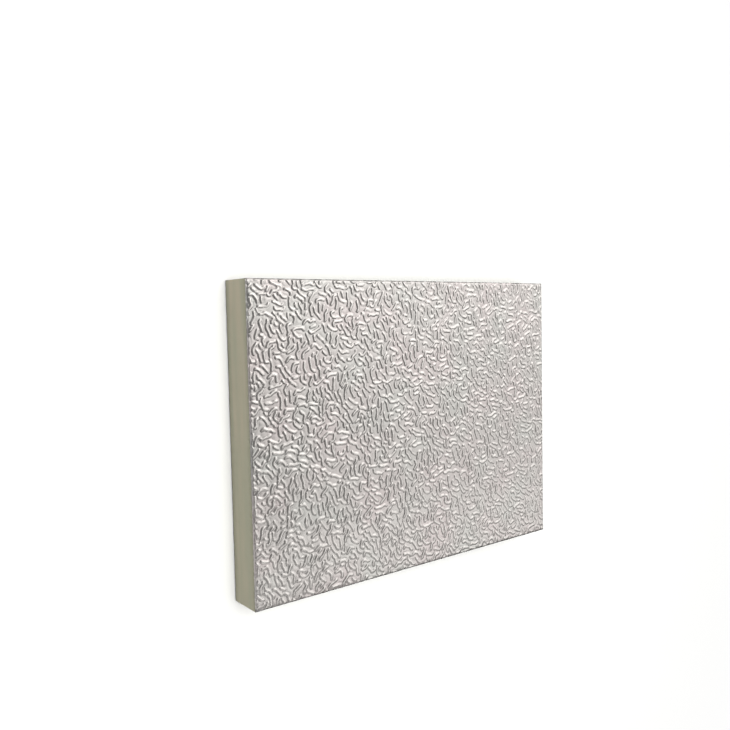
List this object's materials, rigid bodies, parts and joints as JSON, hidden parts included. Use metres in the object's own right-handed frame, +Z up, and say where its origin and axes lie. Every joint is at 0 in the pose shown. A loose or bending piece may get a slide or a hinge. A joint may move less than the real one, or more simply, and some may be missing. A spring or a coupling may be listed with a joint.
{
  "type": "pre-insulated duct panel",
  "caption": "Flat rectangular sandwich panel of pale rigid foam faced on both sides with stucco-embossed aluminium foil, for building insulated air ducts.",
  "frame": {"origin": "centre of the underside, the face that the panel rests on", "axes": "+X along the panel's length, +Y along its width, +Z up through its thickness, out of the front facing"},
  "size_m": [0.2, 0.15, 0.02],
  "materials": {
    "foam": "pale cream closed-cell rigid foam, sawn and matt",
    "embossed_foil": "stucco-embossed mill foil with a clear lacquer, satin"
  },
  "bodies": {
    "root": {"foam_core": "foam", "front_facing": "embossed_foil", "back_facing": "embossed_foil"}
  },
  "joints": []
}
